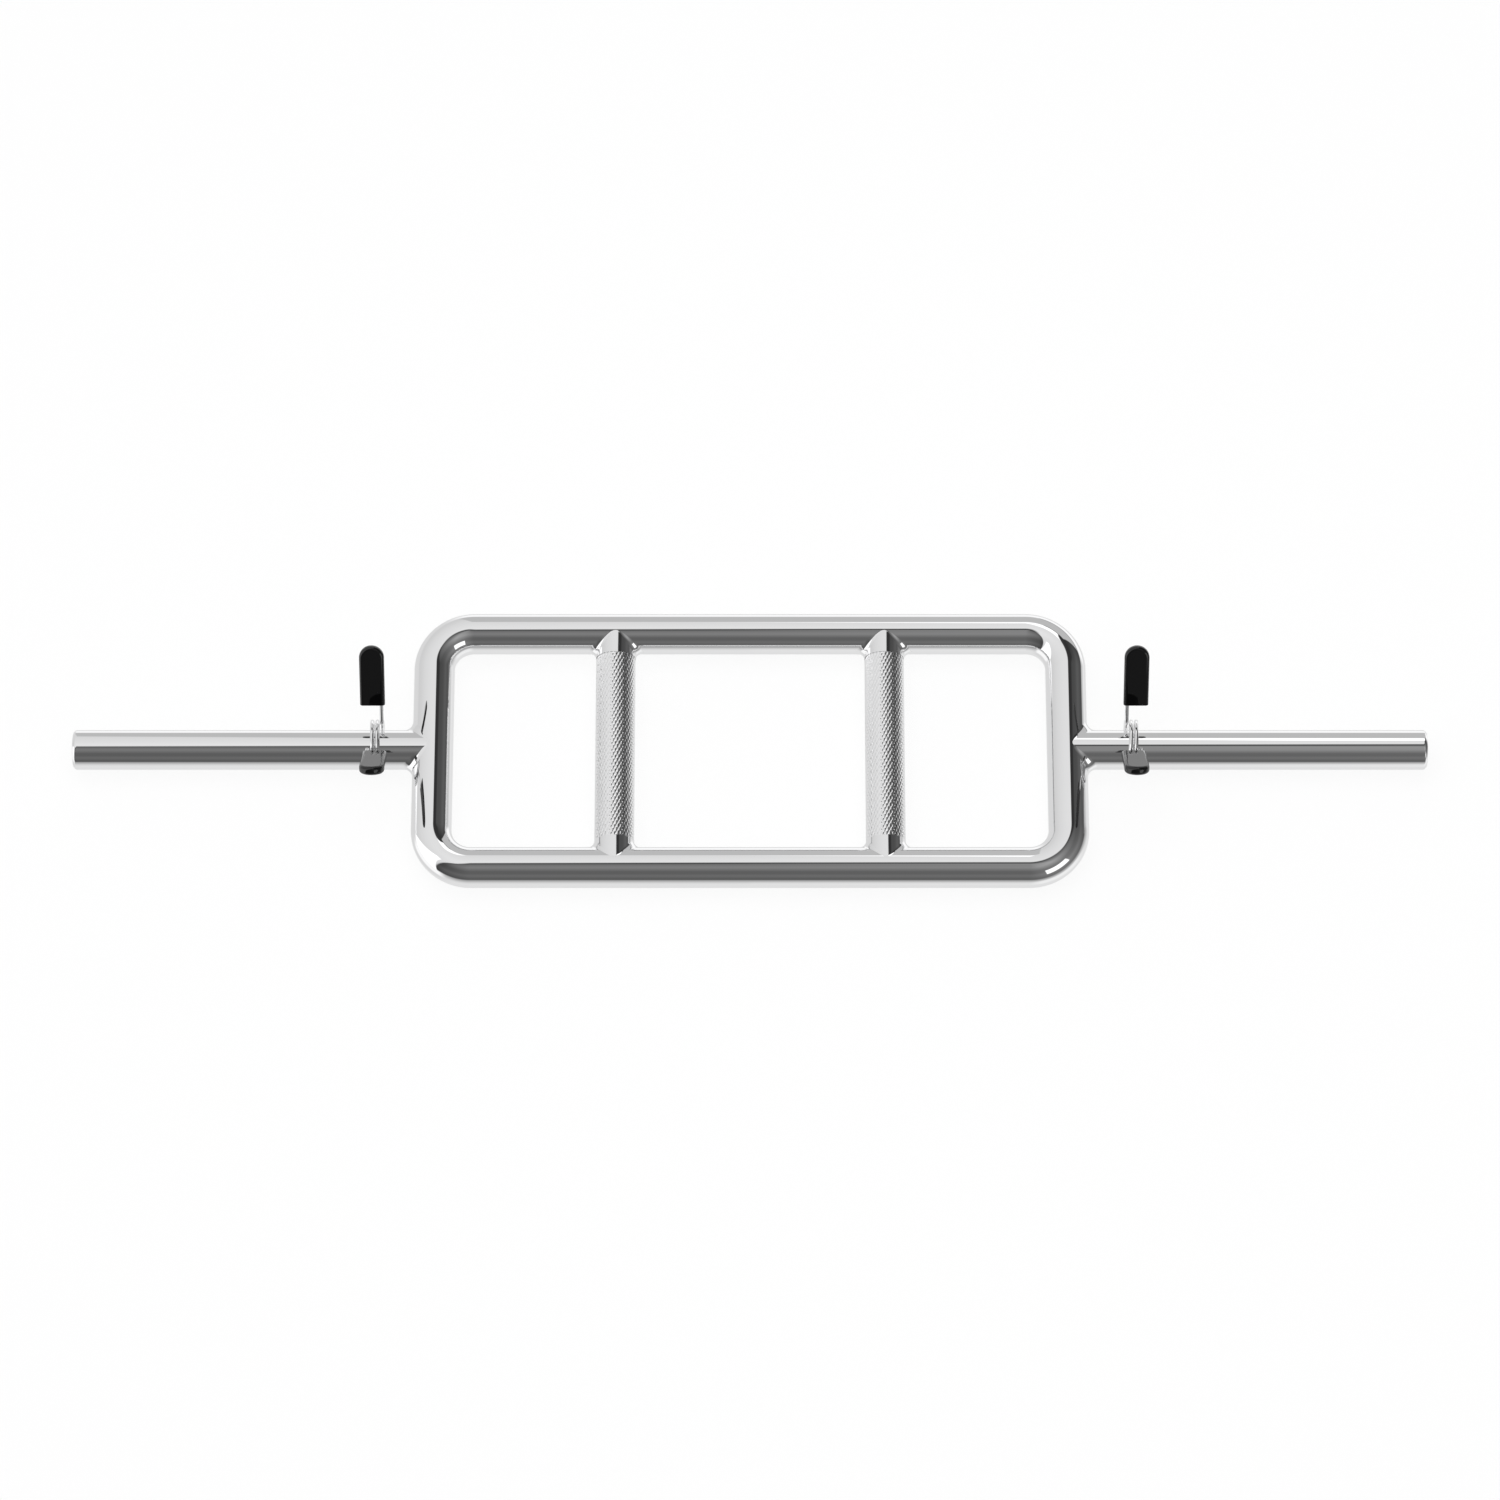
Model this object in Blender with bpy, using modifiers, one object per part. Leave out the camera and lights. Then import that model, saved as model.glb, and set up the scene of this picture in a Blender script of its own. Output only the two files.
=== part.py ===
"""Triceps bar with two spring collars, modelled as separate pieces.

The bar lies flat: X runs along the bar, Y across the frame and Z up. The origin is on the
surface that the collars' coils stand on, under the middle of the bar.
"""

import math

import bmesh
import bpy
import numpy as np
from mathutils import Matrix, Vector

# Driving dimensions, in metres and degrees.
BAR_LENGTH = 0.864
FRAME_WIDTH = 0.431
FRAME_DEPTH = 0.188
FRAME_TUBE_DIAMETER = 0.0259
FRAME_TUBE_WALL = 0.003
BEND_RADIUS = 0.0254
BAR_STEP = 0.0006
GRIP_SPACING = 0.1724
SLEEVE_CHAMFER = 0.0016

SLEEVE_WELD_RADIUS = 0.0067
GRIP_WELD_RADIUS = 0.005
WELD_ROOT = 0.0015
WELD_DEPTH = 0.001

LEFT_COLLAR_FROM_FRAME = 0.0235
RIGHT_COLLAR_FROM_FRAME = 0.0289
WIRE_DIAMETER = 0.0025
COIL_SLACK = 0.0024
COIL_PITCH = 0.0032
COIL_FULL_TURNS = 3
COIL_FIRST_ANGLE = 135.5
COIL_LAST_ANGLE = 35.9
INNER_HANDLE_ANGLE = 45.4
OUTER_HANDLE_ANGLE = 129.0
TAIL_BEND_RADIUS = 0.0032
TAIL_INSERT = 0.028

PADDLE_START = 0.0304
PADDLE_LENGTH = 0.040
PADDLE_WIDTH = 0.0159
PADDLE_THICKNESS = 0.0055
PADDLE_EDGE = 0.0009
PADDLE_CORNER = 0.0016
PADDLE_WALL = 0.0009

# Clearances.
GAP = 0.0003
COIL_FLAT = 0.0005

# Mesh fineness.
BAR_SIDES = 32
CUTTER_SIDES = 64
FRAME_TUBE_RESOLUTION = 8
FRAME_BEND_STEPS = 6
WELD_STEPS = 32
WELD_ARC_STEPS = 3
COIL_STEPS_PER_TURN = 24
COIL_RESOLUTION = 1
TAIL_RESOLUTION = 2
TAIL_BEND_STEPS = 6
PADDLE_TIP_STEPS = 16
PADDLE_CORNER_STEPS = 3

# Worked out from the driving dimensions.
TUBE_RADIUS = FRAME_TUBE_DIAMETER / 2
BAR_RADIUS = TUBE_RADIUS - BAR_STEP / 2
RAIL_X = FRAME_WIDTH / 2 - TUBE_RADIUS
RAIL_Y = FRAME_DEPTH / 2 - TUBE_RADIUS
GRIP_X = GRIP_SPACING / 2
WIRE_RADIUS = WIRE_DIAMETER / 2
COIL_RADIUS = BAR_RADIUS + COIL_SLACK + WIRE_RADIUS
COIL_OFFSET = COIL_SLACK - GAP
AXIS_HEIGHT = COIL_RADIUS + WIRE_RADIUS - COIL_FLAT
COIL_SWEEP = 360 * COIL_FULL_TURNS + COIL_LAST_ANGLE - COIL_FIRST_ANGLE
COIL_LENGTH = COIL_PITCH * COIL_SWEEP / 360
TAIL_SIDE_OFFSET = PADDLE_WIDTH / 2 - PADDLE_WALL - GAP - WIRE_RADIUS

CHROME = ((0.78, 0.79, 0.80, 1.0), 0.08, 1.0)
WELD_CHROME = ((0.74, 0.75, 0.76, 1.0), 0.14, 1.0)
KNURLED_CHROME = ((0.70, 0.71, 0.72, 1.0), 0.25, 1.0)
SPRING_CHROME = ((0.76, 0.77, 0.78, 1.0), 0.12, 1.0)
BLACK_PLASTIC = ((0.010, 0.010, 0.011, 1.0), 0.22, 0.0)


def clear_scene():
    for item in list(bpy.data.objects):
        bpy.data.objects.remove(item, do_unlink=True)


def make_collection(name):
    group = bpy.data.collections.new(name)
    bpy.context.scene.collection.children.link(group)
    return group


def make_material(name, look):
    colour, roughness, metallic = look
    material = bpy.data.materials.new(name)
    material.use_nodes = True
    shader = material.node_tree.nodes["Principled BSDF"]
    shader.inputs["Base Color"].default_value = colour
    shader.inputs["Roughness"].default_value = roughness
    shader.inputs["Metallic"].default_value = metallic
    material.diffuse_color = colour
    return material


def direction(angle):
    """Unit vector in the YZ plane, at an angle in degrees from +Y towards +Z."""
    turn = math.radians(angle)
    return np.array([math.cos(turn), math.sin(turn)])


def add_mesh_object(name, mesh, group):
    item = bpy.data.objects.new(name, mesh)
    group.objects.link(item)
    return item


def finish(item, look):
    """Give a piece its own material and shade its round faces smooth."""
    item.data.materials.clear()
    item.data.materials.append(make_material(item.name, look))
    item.data.shade_smooth()
    item.data.set_sharp_from_angle(angle=math.radians(35))
    return item


def make_curve(name, group, points, closed=False):
    data = bpy.data.curves.new(name, "CURVE")
    data.dimensions = "3D"
    spline = data.splines.new("POLY")
    spline.points.add(len(points) - 1)
    for slot, point in zip(spline.points, points):
        slot.co = (*point, 1.0)
    spline.use_cyclic_u = closed
    item = bpy.data.objects.new(name, data)
    group.objects.link(item)
    return item


def curve_to_mesh(item, group):
    """Replace a curve object by a mesh object with welded caps."""
    name = item.name
    place = item.matrix_world.copy()
    bpy.context.view_layer.update()
    evaluated = item.evaluated_get(bpy.context.evaluated_depsgraph_get())
    mesh = bpy.data.meshes.new_from_object(evaluated)
    bpy.data.objects.remove(item, do_unlink=True)
    shape = bmesh.new()
    shape.from_mesh(mesh)
    bmesh.ops.remove_doubles(shape, verts=shape.verts, dist=0.000001)
    shape.to_mesh(mesh)
    shape.free()
    mesh.name = name
    solid = add_mesh_object(name, mesh, group)
    solid.matrix_world = place
    return solid


def wire_object(name, group, points, radius, resolution, capped=True):
    item = make_curve(name, group, points)
    item.data.bevel_depth = radius
    item.data.bevel_resolution = resolution
    item.data.use_fill_caps = capped
    return curve_to_mesh(item, group)


def cylinder_between(name, group, start, end, radius, sides):
    """A closed cylinder from one point to another."""
    start, end = Vector(start), Vector(end)
    shape = bmesh.new()
    bmesh.ops.create_cone(
        shape, cap_ends=True, segments=sides, radius1=radius, radius2=radius,
        depth=(end - start).length,
    )
    aim = (end - start).to_track_quat("Z", "Y").to_matrix().to_4x4()
    bmesh.ops.transform(
        shape, matrix=Matrix.Translation((start + end) / 2) @ aim, verts=shape.verts
    )
    mesh = bpy.data.meshes.new(name)
    shape.to_mesh(mesh)
    shape.free()
    return add_mesh_object(name, mesh, group)


def as_cutter(item):
    item.hide_render = True
    item.display_type = "WIRE"
    return item


def cut(item, cutter):
    modifier = item.modifiers.new("cut by " + cutter.name, "BOOLEAN")
    modifier.operation = "DIFFERENCE"
    modifier.solver = "EXACT"
    modifier.object = cutter


def half_frame_route(way):
    """Centre line of one U-bent half of the frame, on the side of +Y (1) or -Y (-1)."""
    seam = way * GAP / 2
    corner_x, corner_y = RAIL_X - BEND_RADIUS, RAIL_Y - BEND_RADIUS
    route = [(-RAIL_X, seam, AXIS_HEIGHT)]
    for side in (-1, 1):
        for step in range(FRAME_BEND_STEPS + 1):
            turn = 90 * step / FRAME_BEND_STEPS
            across, along = direction(turn if side < 0 else 90 - turn)
            x = side * (corner_x + BEND_RADIUS * across)
            y = way * (corner_y + BEND_RADIUS * along)
            route.append((x, y, AXIS_HEIGHT))
    route.append((RAIL_X, seam, AXIS_HEIGHT))
    return route


def make_half_frame(name, group, way):
    """One bent tube of the frame, open at its ends and with a real wall."""
    route = half_frame_route(way)
    tube = wire_object(name, group, route, TUBE_RADIUS, FRAME_TUBE_RESOLUTION, capped=False)
    wall = tube.modifiers.new("wall", "SOLIDIFY")
    wall.thickness = FRAME_TUBE_WALL
    wall.offset = -1
    return finish(tube, CHROME)


def make_rail_cutter(name, group, start, end):
    """The round space that the end of a bar is coped to, about a rail of the frame."""
    cutter = cylinder_between(name, group, start, end, TUBE_RADIUS + WELD_ROOT, CUTTER_SIDES)
    return as_cutter(cutter)


def make_sleeve(name, group, side, rail_cutter):
    """A turned solid bar, chamfered at its free end and coped to the side rail."""
    end = BAR_LENGTH / 2
    profile = [
        (0.0, end),
        (BAR_RADIUS - SLEEVE_CHAMFER, end),
        (BAR_RADIUS, end - SLEEVE_CHAMFER),
        (BAR_RADIUS, RAIL_X),
        (0.0, RAIL_X),
    ]
    mesh = bpy.data.meshes.new(name)
    points = [(radius, 0.0, along) for radius, along in profile]
    edges = [(k, k + 1) for k in range(len(profile) - 1)]
    mesh.from_pydata(points, edges, [])
    sleeve = add_mesh_object(name, mesh, group)
    sleeve.location = (0, 0, AXIS_HEIGHT)
    sleeve.rotation_euler = (0, side * math.pi / 2, 0)
    screw = sleeve.modifiers.new("turn", "SCREW")
    screw.axis = "Z"
    screw.steps = BAR_SIDES
    screw.render_steps = BAR_SIDES
    screw.use_merge_vertices = True
    screw.merge_threshold = 0.00001
    cut(sleeve, rail_cutter)
    return finish(sleeve, CHROME)


def make_grip(name, group, x, rail_cutters):
    """A solid bar between the long rails, coped at both ends."""
    start = (x, -RAIL_Y, AXIS_HEIGHT)
    end = (x, RAIL_Y, AXIS_HEIGHT)
    grip = cylinder_between(name, group, start, end, BAR_RADIUS, BAR_SIDES)
    for cutter in rail_cutters:
        cut(grip, cutter)
    return finish(grip, KNURLED_CHROME)


def on_tube(radius, height):
    """Distance from a rail's axis, along the bar, at which a height lies on a radius."""
    return math.sqrt(max(radius**2 - height**2, 0.0))


def weld_section(turn, fillet):
    """Outline of a weld bead in the plane at one turn about the bar it joins.

    The bar runs along +X from a rail whose axis is Y. The bead's hollow face is part of a
    ball that touches both, and its root fills the groove between the bar and the rail.
    """
    around = np.array([0.0, math.cos(turn), math.sin(turn)])
    lift = math.sin(turn)
    ball_height = (BAR_RADIUS + fillet) * lift
    ball = (BAR_RADIUS + fillet) * around
    ball[0] = on_tube(TUBE_RADIUS + fillet, ball_height)
    to_rail = -np.array([ball[0], 0.0, ball[2]]) / (TUBE_RADIUS + fillet)
    to_bar = -around
    spread = math.acos(float(np.clip(np.dot(to_rail, to_bar), -1, 1)))
    points = []
    for step in range(WELD_ARC_STEPS + 1):
        share = step / WELD_ARC_STEPS
        mix = math.sin((1 - share) * spread) * to_rail + math.sin(share * spread) * to_bar
        points.append(ball + (fillet - GAP) * mix / math.sin(spread))
    outer = BAR_RADIUS + GAP
    inner = BAR_RADIUS - WELD_DEPTH
    bar_end = TUBE_RADIUS + WELD_ROOT - GAP
    rail_face = TUBE_RADIUS + GAP
    for reach, radius in ((outer, bar_end), (inner, bar_end), (inner, rail_face)):
        point = reach * around
        point[0] = on_tube(radius, reach * lift)
        points.append(point)
    return points


def make_weld(name, group, place, fillet):
    """A ring-shaped weld bead, lofted through its sections because no tool sweeps one."""
    shape = bmesh.new()
    rings = []
    for step in range(WELD_STEPS):
        turn = 2 * math.pi * (step + 0.5) / WELD_STEPS
        rings.append([shape.verts.new(point) for point in weld_section(turn, fillet)])
    for here, after in zip(rings, rings[1:] + rings[:1]):
        for k in range(len(here)):
            n = (k + 1) % len(here)
            shape.faces.new((here[k], here[n], after[n], after[k]))
    bmesh.ops.recalc_face_normals(shape, faces=shape.faces)
    mesh = bpy.data.meshes.new(name)
    shape.to_mesh(mesh)
    shape.free()
    bead = add_mesh_object(name, mesh, group)
    bead.matrix_world = place
    return finish(bead, WELD_CHROME)


def tail_route(leave_angle, way, handle_angle):
    """Centre line, in the YZ plane, of a spring tail from the coil's end to the paddle.

    It runs straight on from the coil, bends outwards and follows the handle. way is 1
    where the wire leaves the coil with a growing angle and -1 where it falls.
    """
    heading = leave_angle + 90 * way
    turn = (handle_angle - heading + 180) % 360 - 180
    bend_side = math.copysign(90, turn)
    start = COIL_RADIUS * direction(leave_angle) + (WIRE_DIAMETER + GAP) * direction(heading)
    centre = start + TAIL_BEND_RADIUS * direction(heading + bend_side)
    route = []
    for step in range(TAIL_BEND_STEPS + 1):
        angle = heading - bend_side + turn * step / TAIL_BEND_STEPS
        route.append(centre + TAIL_BEND_RADIUS * direction(angle))
    along = direction(handle_angle)
    stop = PADDLE_START + TAIL_INSERT
    route.append(route[-1] + (stop - np.dot(route[-1], along)) * along)
    return route


def coil_route():
    """Points of the coil as (inward, y, z), from its outer end to its inner end."""
    steps = round(COIL_SWEEP / 360 * COIL_STEPS_PER_TURN)
    route = []
    for step in range(steps + 1):
        share = step / steps
        y, z = COIL_RADIUS * direction(COIL_FIRST_ANGLE + COIL_SWEEP * share)
        route.append((COIL_LENGTH * (share - 0.5), y, z))
    first = np.array(route[0]) - WIRE_DIAMETER * np.array([0, *direction(COIL_FIRST_ANGLE + 90)])
    last = np.array(route[-1]) + WIRE_DIAMETER * np.array([0, *direction(COIL_LAST_ANGLE + 90)])
    return [tuple(first), *route, tuple(last)]


def print_coil_gap(route):
    """Print the least gap between one turn of the coil and another."""
    points = np.array(route)
    half_turn = COIL_STEPS_PER_TURN // 2
    least = min(
        float(np.linalg.norm(points[k + half_turn:] - points[k], axis=1).min())
        for k in range(len(points) - half_turn)
    )
    print(f"coil: least gap to itself {1000 * (least - WIRE_DIAMETER):.2f} mm")


def place_collar_points(points, side):
    """Turn (inward, y, z) into (x, y, z): inward is towards the middle of the bar."""
    return [(-side * inward, y, z) for inward, y, z in points]


def make_paddle(name, group, side, wire_inward, paddle_inward, angle, lift, cutters):
    """A moulded grip with a round tip, bored for the spring's tail."""
    half = PADDLE_WIDTH / 2
    tip = PADDLE_LENGTH - half
    outline = []
    for centre_x, first in ((-half + PADDLE_CORNER, 180), (half - PADDLE_CORNER, 270)):
        for step in range(PADDLE_CORNER_STEPS + 1):
            across, along = direction(first + 90 * step / PADDLE_CORNER_STEPS)
            x = centre_x + PADDLE_CORNER * across
            outline.append((x, PADDLE_CORNER * (1 + along), 0.0))
    for step in range(PADDLE_TIP_STEPS + 1):
        across, along = direction(180 * step / PADDLE_TIP_STEPS)
        outline.append((half * across, tip + half * along, 0.0))
    flat = make_curve(name, group, outline, closed=True)
    flat.data.dimensions = "2D"
    flat.data.fill_mode = "BOTH"
    flat.data.extrude = PADDLE_THICKNESS / 2 - PADDLE_EDGE
    flat.data.bevel_depth = PADDLE_EDGE
    flat.data.bevel_resolution = 1
    flat.data.offset = -PADDLE_EDGE
    paddle = curve_to_mesh(flat, group)
    shift = Matrix.Translation((-side * paddle_inward, PADDLE_START, lift))
    paddle.data.transform(shift)
    bore_x = -side * wire_inward
    bore = cylinder_between(
        name + "_bore", cutters,
        (bore_x, PADDLE_START - PADDLE_CORNER, lift),
        (bore_x, PADDLE_START + TAIL_INSERT + GAP, lift),
        WIRE_RADIUS + GAP, 16,
    )
    as_cutter(bore)
    for item in (paddle, bore):
        item.rotation_euler = (math.radians(angle), 0, 0)
    cut(paddle, bore)
    finish(paddle, BLACK_PLASTIC)
    return paddle, bore


def make_collar(prefix, x, side, group, cutters):
    """A spring collar: its coil, the two tails of its wire and a paddle on each."""
    spin_axis = bpy.data.objects.new(prefix + "_collar_axis", None)
    spin_axis.location = (x, 0, AXIS_HEIGHT)
    group.objects.link(spin_axis)
    squeeze_axis = bpy.data.objects.new(prefix + "_collar_coil_axis", None)
    squeeze_axis.location = (0, COIL_OFFSET, 0)
    squeeze_axis.parent = spin_axis
    group.objects.link(squeeze_axis)

    route = coil_route()
    print_coil_gap(route)
    points = place_collar_points(route, side)
    coil = wire_object(prefix + "_collar_coil", group, points, WIRE_RADIUS, COIL_RESOLUTION)
    coil.parent = squeeze_axis
    cut(coil, cutters.objects["floor_cutter"])
    finish(coil, SPRING_CHROME)

    ends = (
        ("inner", COIL_LAST_ANGLE, 1, INNER_HANDLE_ANGLE),
        ("outer", COIL_FIRST_ANGLE, -1, OUTER_HANDLE_ANGLE),
    )
    for end, leave_angle, way, handle_angle in ends:
        tail_yz = tail_route(leave_angle, way, handle_angle)
        wire_inward = way * COIL_LENGTH / 2
        tail_points = place_collar_points([(wire_inward, *point) for point in tail_yz], side)
        tail_name = f"{prefix}_{end}_tail"
        tail = wire_object(tail_name, group, tail_points, WIRE_RADIUS, TAIL_RESOLUTION)
        tail.parent = squeeze_axis
        finish(tail, SPRING_CHROME)
        lift = float(np.dot(tail_yz[-1], direction(handle_angle + 90)))
        paddle_inward = way * (COIL_LENGTH / 2 - TAIL_SIDE_OFFSET)
        paddle, bore = make_paddle(
            f"{prefix}_{end}_paddle", group, side, wire_inward, paddle_inward,
            handle_angle, lift, cutters,
        )
        paddle.parent = squeeze_axis
        bore.parent = squeeze_axis


def make_floor_cutter(group):
    """A block whose top is the surface the coils stand on: it flattens their lowest wire."""
    bpy.ops.mesh.primitive_cube_add(size=1)
    block = bpy.context.object
    block.name = "floor_cutter"
    for owner in list(block.users_collection):
        owner.objects.unlink(block)
    group.objects.link(block)
    block.scale = (BAR_LENGTH, 4 * COIL_RADIUS, COIL_RADIUS)
    block.location = (0, 0, -COIL_RADIUS / 2)
    return as_cutter(block)


def main():
    clear_scene()
    bar = make_collection("triceps_bar")
    cutters = make_collection("cutters")
    make_floor_cutter(cutters)

    make_half_frame("frame_rear_tube", bar, 1)
    make_half_frame("frame_front_tube", bar, -1)

    long_cutters = [
        make_rail_cutter(
            f"long_rail_cutter_{label}", cutters,
            (-RAIL_X, way * RAIL_Y, AXIS_HEIGHT), (RAIL_X, way * RAIL_Y, AXIS_HEIGHT),
        )
        for label, way in (("rear", 1), ("front", -1))
    ]
    sides = (("left", -1, LEFT_COLLAR_FROM_FRAME), ("right", 1, RIGHT_COLLAR_FROM_FRAME))
    for label, side, collar_from_frame in sides:
        side_cutter = make_rail_cutter(
            f"side_rail_cutter_{label}", cutters,
            (side * RAIL_X, -RAIL_Y, AXIS_HEIGHT), (side * RAIL_X, RAIL_Y, AXIS_HEIGHT),
        )
        make_sleeve(f"{label}_sleeve", bar, side, side_cutter)
        out = Matrix.Rotation(0 if side > 0 else math.pi, 4, "Z")
        at_rail = Matrix.Translation((side * RAIL_X, 0, AXIS_HEIGHT))
        make_weld(f"{label}_sleeve_weld", bar, at_rail @ out, SLEEVE_WELD_RADIUS)

        grip_x = side * GRIP_X
        make_grip(f"{label}_grip", bar, grip_x, long_cutters)
        for end, way in (("rear", 1), ("front", -1)):
            inward = Matrix.Rotation(-way * math.pi / 2, 4, "Z")
            at_rail = Matrix.Translation((grip_x, way * RAIL_Y, AXIS_HEIGHT))
            make_weld(f"{label}_grip_{end}_weld", bar, at_rail @ inward, GRIP_WELD_RADIUS)

        collar_x = side * (FRAME_WIDTH / 2 + collar_from_frame)
        make_collar(label, collar_x, side, bar, cutters)


main()
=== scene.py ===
# %% [markdown]
# # A chromed triceps bar with two spring collars
#
# The real bar is a straight sleeve at each end of a closed tube frame, with two knurled
# grips across the frame and a sprung wire collar on each sleeve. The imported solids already
# have every piece at its true size, but with few sides, which chrome would show. So this
# lesson models each piece again, finely, at the place where its solid is.

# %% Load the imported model
import math

import bmesh
import bpy
import numpy as np
from mathutils import Matrix, Vector


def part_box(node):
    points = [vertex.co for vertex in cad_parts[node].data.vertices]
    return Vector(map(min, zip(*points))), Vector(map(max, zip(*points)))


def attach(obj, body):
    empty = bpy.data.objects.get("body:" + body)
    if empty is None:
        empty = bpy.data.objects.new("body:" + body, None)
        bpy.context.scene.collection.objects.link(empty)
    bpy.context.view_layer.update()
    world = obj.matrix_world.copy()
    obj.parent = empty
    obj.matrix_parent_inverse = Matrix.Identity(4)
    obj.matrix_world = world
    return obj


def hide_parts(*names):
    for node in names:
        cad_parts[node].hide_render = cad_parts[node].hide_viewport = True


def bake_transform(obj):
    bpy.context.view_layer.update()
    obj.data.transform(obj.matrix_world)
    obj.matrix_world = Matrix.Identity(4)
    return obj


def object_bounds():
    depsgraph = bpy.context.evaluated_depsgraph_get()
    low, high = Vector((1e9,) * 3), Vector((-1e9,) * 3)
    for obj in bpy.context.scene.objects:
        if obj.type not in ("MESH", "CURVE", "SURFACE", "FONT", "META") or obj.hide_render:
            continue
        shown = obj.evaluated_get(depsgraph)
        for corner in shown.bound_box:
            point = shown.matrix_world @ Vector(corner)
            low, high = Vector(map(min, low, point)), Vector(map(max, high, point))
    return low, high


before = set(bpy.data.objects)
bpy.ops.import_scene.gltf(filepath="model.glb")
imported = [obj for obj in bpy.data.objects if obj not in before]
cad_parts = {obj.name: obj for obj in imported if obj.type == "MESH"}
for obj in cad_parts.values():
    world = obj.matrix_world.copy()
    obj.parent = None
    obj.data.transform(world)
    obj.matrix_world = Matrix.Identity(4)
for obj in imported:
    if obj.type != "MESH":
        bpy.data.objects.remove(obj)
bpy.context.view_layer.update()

# %% [markdown]
# ## Measure the solids
#
# The main sizes are read from the solids' boxes, so that the fine pieces fit where the
# solids are. The rest are written again here, because a box doesn't give them plainly, such
# as a bend's radius or the angle that a handle stands at.

# %% Sizes from the solids' boxes
rear_low, rear_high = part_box("frame_rear_tube")
sleeve_low, sleeve_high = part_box("right_sleeve")
grip_low, grip_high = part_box("right_grip")
TUBE_RADIUS = (rear_high.z - rear_low.z) / 2
AXIS_HEIGHT = (rear_high.z + rear_low.z) / 2
RAIL_X = rear_high.x - TUBE_RADIUS
RAIL_Y = rear_high.y - TUBE_RADIUS
BAR_RADIUS = (sleeve_high.z - sleeve_low.z) / 2
BAR_END = sleeve_high.x
GRIP_X = (grip_high.x + grip_low.x) / 2
print(f"tube {2000 * TUBE_RADIUS:.2f} mm, bars {2000 * BAR_RADIUS:.2f} mm")
print(f"axis {1000 * AXIS_HEIGHT:.2f} mm above the surface")
print(f"rails at x {1000 * RAIL_X:.2f} and y {1000 * RAIL_Y:.2f} mm, grips at x {1000 * GRIP_X:.2f} mm")

# %% [markdown]
# ## Small helpers for modelling
#
# An operator works on whatever is selected, so each piece starts with nothing selected.
# Inside edit mode the right faces or edges are then picked by their place. Each finished
# piece keeps its object at the origin, with its place in its mesh.

# %% Helpers for edit mode
MERGE_DISTANCE = 0.000002
SAME_PLACE = 1e-6


def deselect_all():
    bpy.ops.object.select_all(action="DESELECT")


def start_editing(name):
    """Name the piece that was just added, put its place in its mesh and enter edit mode."""
    piece = bpy.context.object
    piece.name = name
    piece.data.name = name
    bpy.ops.object.transform_apply(location=True, rotation=True, scale=True)
    bpy.ops.object.mode_set(mode="EDIT")
    bpy.ops.mesh.select_all(action="SELECT")
    return piece


def pick(kind, test):
    """Select only the vertices, edges or faces that pass a test."""
    mesh = bpy.context.object.data
    bpy.ops.mesh.select_mode(type={"verts": "VERT", "edges": "EDGE", "faces": "FACE"}[kind])
    bpy.ops.mesh.select_all(action="DESELECT")
    shape = bmesh.from_edit_mesh(mesh)
    chosen = [part for part in getattr(shape, kind) if test(part)]
    for part in chosen:
        part.select_set(True)
    bmesh.update_edit_mesh(mesh)


def extrude_edges(step):
    bpy.ops.mesh.extrude_edges_move(TRANSFORM_OT_translate={"value": tuple(step)})


def merge_and_face_outwards():
    bpy.ops.mesh.select_all(action="SELECT")
    bpy.ops.mesh.remove_doubles(threshold=MERGE_DISTANCE)
    bpy.ops.mesh.normals_make_consistent(inside=False)


def stop_editing(smooth_angle=35):
    """Leave edit mode and shade every edge smooth that is blunter than an angle."""
    bpy.ops.object.mode_set(mode="OBJECT")
    bpy.ops.object.shade_smooth_by_angle(angle=math.radians(smooth_angle))


def dress(piece, material, body, nodes):
    """Give a piece its finish, its body and the solids that it stands for."""
    piece.data.materials.clear()
    piece.data.materials.append(material)
    if body:
        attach(piece, body)
    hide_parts(*nodes)
    low = [min(v.co[k] for v in piece.data.vertices) * 1000 for k in range(3)]
    high = [max(v.co[k] for v in piece.data.vertices) * 1000 for k in range(3)]
    size = " x ".join(f"{b - a:.1f}" for a, b in zip(low, high))
    print(f"{piece.name}: {size} mm, {len(piece.data.polygons)} faces")


# %% [markdown]
# ## Helpers for materials
#
# A material here is the Principled shader with a few nodes that change its roughness, its
# colour or its surface a little from place to place. The patterns read Object coordinates,
# which are metres on the real piece, so a scale of 400 means detail of about 2.5 mm.

# %% Helpers for shader nodes
def new_material(name, colour, roughness, metallic):
    material = bpy.data.materials.new(name)
    material.use_nodes = True
    tree = material.node_tree
    shader = tree.nodes["Principled BSDF"]
    shader.inputs["Base Color"].default_value = (*colour, 1.0)
    shader.inputs["Roughness"].default_value = roughness
    shader.inputs["Metallic"].default_value = metallic
    place = tree.nodes.new("ShaderNodeTexCoord")
    return material, tree, shader, place.outputs["Object"]


def noise(tree, place, scale, detail):
    """A cloudy pattern from 0 to 1, at a number of clouds per metre."""
    texture = tree.nodes.new("ShaderNodeTexNoise")
    texture.inputs["Scale"].default_value = scale
    texture.inputs["Detail"].default_value = detail
    tree.links.new(place, texture.inputs["Vector"])
    return texture.outputs["Fac"]


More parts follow.
